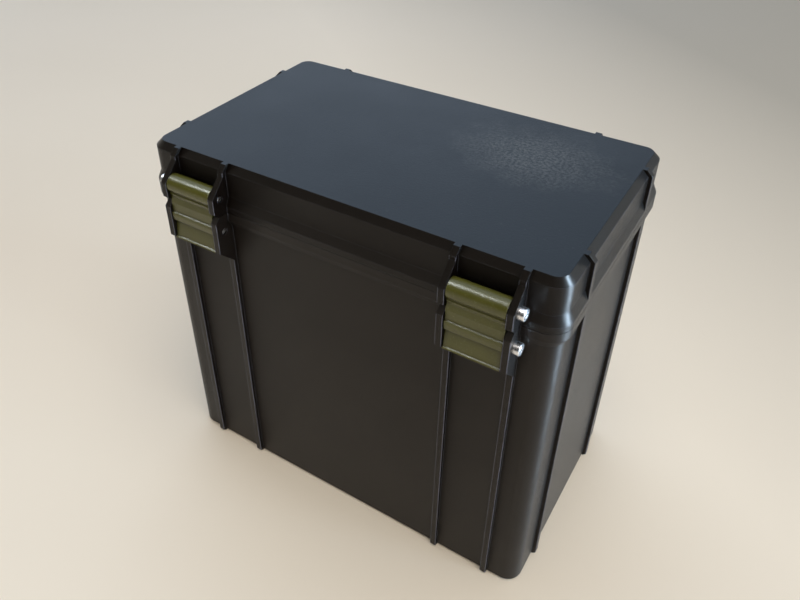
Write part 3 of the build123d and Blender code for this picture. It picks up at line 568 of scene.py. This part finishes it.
# ------------------------------------------------------------------ small pieces inside
LEAD_RADIUS = 3.0 * MM
SLEEVE_PROFILE = [(8.4, 3.55), (8.2, 3.9), (8.6, 4.15), (18.6, 4.2), (20.0, 4.0), (21.5, 3.6),
                  (27.0, 3.45), (27.6, 3.3), (27.4, 3.1), (20.5, 3.1), (19.2, 3.55)]
PAD_HALF_X = 10.0 * MM
PAD_HALF_Y = 7.5 * MM
GASKET_GAP = 0.1 * MM
GASKET_WIDTH = 1.6 * MM
GASKET_HEIGHT = 0.9 * MM
GASKET_CORNER = 2.1 * MM
WIRE_RADIUS = 0.8 * MM
BUNDLE_INSET = 0.4 * MM
TIE_HEIGHTS = (98 * MM, 122 * MM)
TIE_GAP = 0.1 * MM
TIE_THICKNESS = 0.9 * MM
TIE_WIDTH = 2.4 * MM
TIE_CORNER = 0.6 * MM
TIE_HEAD = Vector((2.6, 3.8, 3.6)) * MM
TIE_HEAD_OUT = 3.0 * MM
TIE_HEAD_INSET = 4.0 * MM
CHIP_HEIGHT = 1.7 * MM
CHIP_LIFT = 0.15 * MM
CHIP_RISE = 11 * MM
CHIPS = [
    {"y": 13 * MM, "half_y": 5 * MM, "half_z": 5 * MM, "pins_a_side": 10},
    {"y": 30 * MM, "half_y": 3.2 * MM, "half_z": 2.6 * MM, "pins_a_side": 5},
]
PIN_MARGIN = 0.4 * MM
PIN_OUT = 0.55 * MM
PIN_HALF = (0.18 * MM, 0.6 * MM)
PIN_HEIGHT = 0.6 * MM
RESISTORS = 14
RESISTOR_PITCH = 5 * MM
RESISTOR_MARGIN = 3 * MM
RESISTOR_RISE = 4.0 * MM
RESISTOR_HALF = (1.0 * MM, 0.6 * MM)
RESISTOR_HEIGHT = 0.6 * MM
RESISTOR_END_HALF = (0.25 * MM, 0.64 * MM)
RESISTOR_END_HEIGHT = 0.66 * MM
TIN_ROUNDING = 0.08 * MM


def make_sleeve(name, start, direction, material):
    bm = bmesh.new()
    profile = [(along * MM, radius * MM) for along, radius in SLEEVE_PROFILE]
    tube(bm, Vector(start), Vector(direction), profile)
    make_piece(name, bm, material)


def make_sleeves(material):
    """Heat-shrink sleeves over the lug barrels, run onto the leads."""
    lead_low, lead_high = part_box("lead_cells_to_fuse")
    drop_x = lead_low[0] + LEAD_RADIUS
    level_z = lead_high[2] - LEAD_RADIUS
    for name in ("board", "fuse"):
        low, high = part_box(name + "_studs")
        stud_radius = (high[2] - low[2]) / 2
        stud_z = (low[2] + high[2]) / 2
        for side, y in (("outer", low[1] + stud_radius), ("inner", high[1] - stud_radius)):
            make_sleeve("sleeve_%s_%s" % (name, side), (drop_x, y, stud_z), (0, 0, 1), material)
    pads_low, pads_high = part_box("cell_terminals")
    pad_x = pads_low[0] + PAD_HALF_X
    for name, y in (("red", pads_high[1] - PAD_HALF_Y), ("black", pads_low[1] + PAD_HALF_Y)):
        make_sleeve("sleeve_cells_%s" % name, (pad_x, y, level_z), (-1, 0, 0), material)


def make_cable_ties(material):
    """Two ties round the flat bundle of balance wires, each with its head to one side."""
    wires_low, wires_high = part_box("balance_wires")
    plug_low, plug_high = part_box("balance_plug")
    half_x = WIRE_RADIUS + TIE_GAP
    half_y = (plug_high[1] - plug_low[1]) / 2 - BUNDLE_INSET
    head_low = Vector((-half_x - TIE_HEAD_OUT, half_y - TIE_HEAD_INSET, (TIE_WIDTH - TIE_HEAD.z) / 2))
    for index, z in enumerate(TIE_HEIGHTS):
        bm = bmesh.new()
        middle = Vector((wires_low[0] + WIRE_RADIUS, (plug_low[1] + plug_high[1]) / 2, z))
        frame_ring(bm, middle, half_x, half_y, TIE_THICKNESS, TIE_WIDTH, TIE_CORNER)
        rounded_block(bm, middle + head_low, middle + head_low + TIE_HEAD, 0.5 * MM)
        make_piece("cable_tie_%d" % (index + 1), bm, material)


def make_gaskets(material):
    """Gaskets on top of each cell, round its two terminal pads."""
    pads_low, pads_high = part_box("cell_terminals")
    half_x = PAD_HALF_X + GASKET_GAP
    half_y = PAD_HALF_Y + GASKET_GAP
    for letter in "abcd":
        low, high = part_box("cell_" + letter)
        bm = bmesh.new()
        for x in (pads_low[0] + PAD_HALF_X, pads_high[0] - PAD_HALF_X):
            middle = Vector((x, (low[1] + high[1]) / 2, high[2]))
            frame_ring(bm, middle, half_x, half_y, GASKET_WIDTH, GASKET_HEIGHT, GASKET_CORNER)
        make_piece("gaskets_" + letter, bm, material)


def board_block(bm, place, half, height, rounding, lift=0.0):
    """A rounded block on the outer face of the protection board, which looks towards -X."""
    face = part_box("protection_board")[0][0]
    y, z = place
    half_y, half_z = half
    low = (face - height, y - half_y, z - half_z)
    high = (face - lift, y + half_y, z + half_z)
    rounded_block(bm, low, high, rounding)


def add_chip(bodies, pins, chip, z):
    """A controller chip with a row of pins along its top and its bottom."""
    half_y, half_z, count = chip["half_y"], chip["half_z"], chip["pins_a_side"]
    board_block(bodies, (chip["y"], z), (half_y, half_z), CHIP_HEIGHT, 0.25 * MM, CHIP_LIFT)
    pitch = 2 * (half_y - PIN_MARGIN) / count
    for k in range(count):
        pin_y = chip["y"] + (k - (count - 1) / 2) * pitch
        for side in SIDES:
            pin_z = z + side * (half_z + PIN_OUT)
            board_block(pins, (pin_y, pin_z), PIN_HALF, PIN_HEIGHT, TIN_ROUNDING)


def add_resistor(bodies, ends, y, z):
    """A small resistor with tinned ends."""
    board_block(bodies, (y, z), RESISTOR_HALF, RESISTOR_HEIGHT, 0.12 * MM)
    for side in SIDES:
        end = (y + side * RESISTOR_HALF[0], z)
        board_block(ends, end, RESISTOR_END_HALF, RESISTOR_END_HEIGHT, TIN_ROUNDING)


def make_board_parts(epoxy, tin, ceramic):
    """Controller chips with their pins, and a row of small resistors, above the heat sink."""
    sink_low, sink_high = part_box("board_heat_sink")
    row_z = sink_high[2] + RESISTOR_RISE
    chips, pins, resistors = bmesh.new(), bmesh.new(), bmesh.new()
    for chip in CHIPS:
        add_chip(chips, pins, chip, row_z + CHIP_RISE)
    for k in range(RESISTORS):
        add_resistor(resistors, pins, sink_low[1] + RESISTOR_MARGIN + k * RESISTOR_PITCH, row_z)
    make_piece("board_chips", chips, epoxy)
    make_piece("board_pins", pins, tin)
    make_piece("board_resistors", resistors, ceramic)


def make_small_pieces():
    make_sleeves(soft_rubber("heat_shrink", (0.012, 0.012, 0.013), 0.32))
    make_cable_ties(moulded("tie_natural", (0.55, 0.53, 0.46), 0.35, 1.2))
    make_gaskets(moulded("gasket_black", (0.020, 0.020, 0.022), 0.45))
    epoxy = moulded("chip_epoxy", (0.010, 0.010, 0.011), 0.4)
    tin = bare_metal("solder_tin", (0.75, 0.75, 0.76), 0.3)
    make_board_parts(epoxy, tin, moulded("resistor_body", (0.020, 0.018, 0.018), 0.3))


# ------------------------------------------------------------------ stage and light
FLOOR_HALF = 4.0
FLOOR_PALE = (0.80, 0.71, 0.575)
FLOOR_SHADED = (0.42, 0.375, 0.30)
SHADE_DIRECTION = (0.6, 0.8)
SHADE_START, SHADE_END = 0.16, 0.60
LAMP_AIM = Vector((0.0, 0.0, 0.10))
WALL_DIRECTION = Vector((-0.50, 0.80, 0.33)).normalized()
WALL_LIGHT = (0.95, 1.12, 1.36)
ROOM_LIGHT = (0.54, 0.50, 0.46)
FRONT_DIRECTION = Vector((-0.55, -0.68, 0.42)).normalized()
FRONT_LIGHT = (0.035, 0.034, 0.033)
BACK_DIRECTION = Vector((0.66, 0.74, 0.05)).normalized()
BACK_LIGHT = (0.10, 0.095, 0.085)
BACKDROP = (0.72, 0.70, 0.66)


def floor_paint():
    """Pale paint, slightly mottled, that falls off into shade behind the box to the right."""
    s = Shader("floor_paint")
    mottle = s.span(s.noise(2.5, 3.0), 0.35, 0.65)
    tint = s.blend(mottle, FLOOR_PALE, shade(FLOOR_PALE, 0.97))
    away_x = s.times(s.axis("X"), SHADE_DIRECTION[0])
    away_y = s.times(s.axis("Y"), SHADE_DIRECTION[1])
    shaded = s.span(s.math("ADD", away_x, away_y), SHADE_START, SHADE_END)
    tint = s.blend(shaded, tint, FLOOR_SHADED)
    return s.finish(tint, s.span(mottle, 0.0, 1.0, 0.55, 0.62))


def make_floor():
    mesh = bpy.data.meshes.new("floor")
    corners = [(x * FLOOR_HALF, y * FLOOR_HALF, 0.0) for x, y in ((-1, -1), (1, -1), (1, 1), (-1, 1))]
    mesh.from_pydata(corners, [], [(0, 1, 2, 3)])
    mesh.materials.append(floor_paint())
    floor = bpy.data.objects.new("floor", mesh)
    bpy.context.scene.collection.objects.link(floor)


def area_light(name, place, size, power, colour, lights_surfaces=True):
    """A soft rectangular light aimed at the box, or one that is only seen mirrored in it."""
    data = bpy.data.lights.new(name, "AREA")
    data.shape = "RECTANGLE"
    data.size, data.size_y = size
    data.energy = power
    data.color = colour
    lamp = bpy.data.objects.new(name, data)
    lamp.location = place
    lamp.visible_camera = False
    lamp.visible_diffuse = lights_surfaces
    lamp.rotation_mode = "QUATERNION"
    lamp.rotation_quaternion = (LAMP_AIM - Vector(place)).to_track_quat("-Z", "Y")
    bpy.context.scene.collection.objects.link(lamp)


def lobe(tree, direction, edge, full):
    """1 round a direction of the sky, fading to 0 further away from it."""
    coords = tree.nodes.new("ShaderNodeTexCoord")
    dot = tree.nodes.new("ShaderNodeVectorMath")
    dot.operation = "DOT_PRODUCT"
    dot.inputs[1].default_value = direction
    tree.links.new(coords.outputs["Generated"], dot.inputs[0])
    fade = tree.nodes.new("ShaderNodeMapRange")
    fade.interpolation_type = "SMOOTHSTEP"
    fade.inputs["From Min"].default_value = edge
    fade.inputs["From Max"].default_value = full
    tree.links.new(dot.outputs["Value"], fade.inputs["Value"])
    return fade.outputs["Result"]


def sky_mix(tree, factor, below, colour):
    """Lay one colour of the sky over what is below it."""
    mix = tree.nodes.new("ShaderNodeMix")
    mix.data_type = "RGBA"
    tree.links.new(factor, mix.inputs["Factor"])
    if isinstance(below, bpy.types.NodeSocket):
        tree.links.new(below, mix.inputs["A"])
    else:
        mix.inputs["A"].default_value = rgba(below)
    mix.inputs["B"].default_value = rgba(colour)
    return mix.outputs["Result"]


def make_world():
    """A softly lit room: a pale blue wall behind the box, dim in front and behind to the right."""
    world = bpy.data.worlds.new("world")
    world.use_nodes = True
    tree = world.node_tree
    sky = sky_mix(tree, lobe(tree, WALL_DIRECTION, edge=0.15, full=0.75), ROOM_LIGHT, WALL_LIGHT)
    sky = sky_mix(tree, lobe(tree, FRONT_DIRECTION, edge=0.50, full=0.86), sky, FRONT_LIGHT)
    sky = sky_mix(tree, lobe(tree, BACK_DIRECTION, edge=0.45, full=0.80), sky, BACK_LIGHT)
    path = tree.nodes.new("ShaderNodeLightPath")
    sky = sky_mix(tree, path.outputs["Is Camera Ray"], sky, BACKDROP)
    tree.links.new(sky, tree.nodes["Background"].inputs["Color"])
    bpy.context.scene.world = world


def make_lamps():
    """A window far to the right, a soft light overhead, and two that only show as highlights."""
    area_light("window", place=(4.0, 0.18, 0.72), size=(1.6, 1.45), power=85.0, colour=(0.58, 0.78, 1.0))
    area_light("overhead", place=(0.45, -0.45, 1.70), size=(1.4, 1.4), power=19.0, colour=(1.0, 0.94, 0.87))
    area_light("streak", place=(-0.74, -0.42, 1.45), size=(0.35, 0.35), power=22.0,
               colour=(0.93, 1.0, 1.0), lights_surfaces=False)
    area_light("glint", place=(2.30, 0.40, 0.27), size=(0.5, 0.5), power=400.0,
               colour=(0.62, 0.81, 1.0), lights_surfaces=False)


def make_stage():
    make_floor()
    make_world()
    make_lamps()
    bpy.context.scene.view_settings.view_transform = "Standard"
    bpy.context.scene.view_settings.look = "None"


make_camera()
dress_cad_nodes()
make_small_pieces()
make_stage()

bpy.context.view_layer.update()
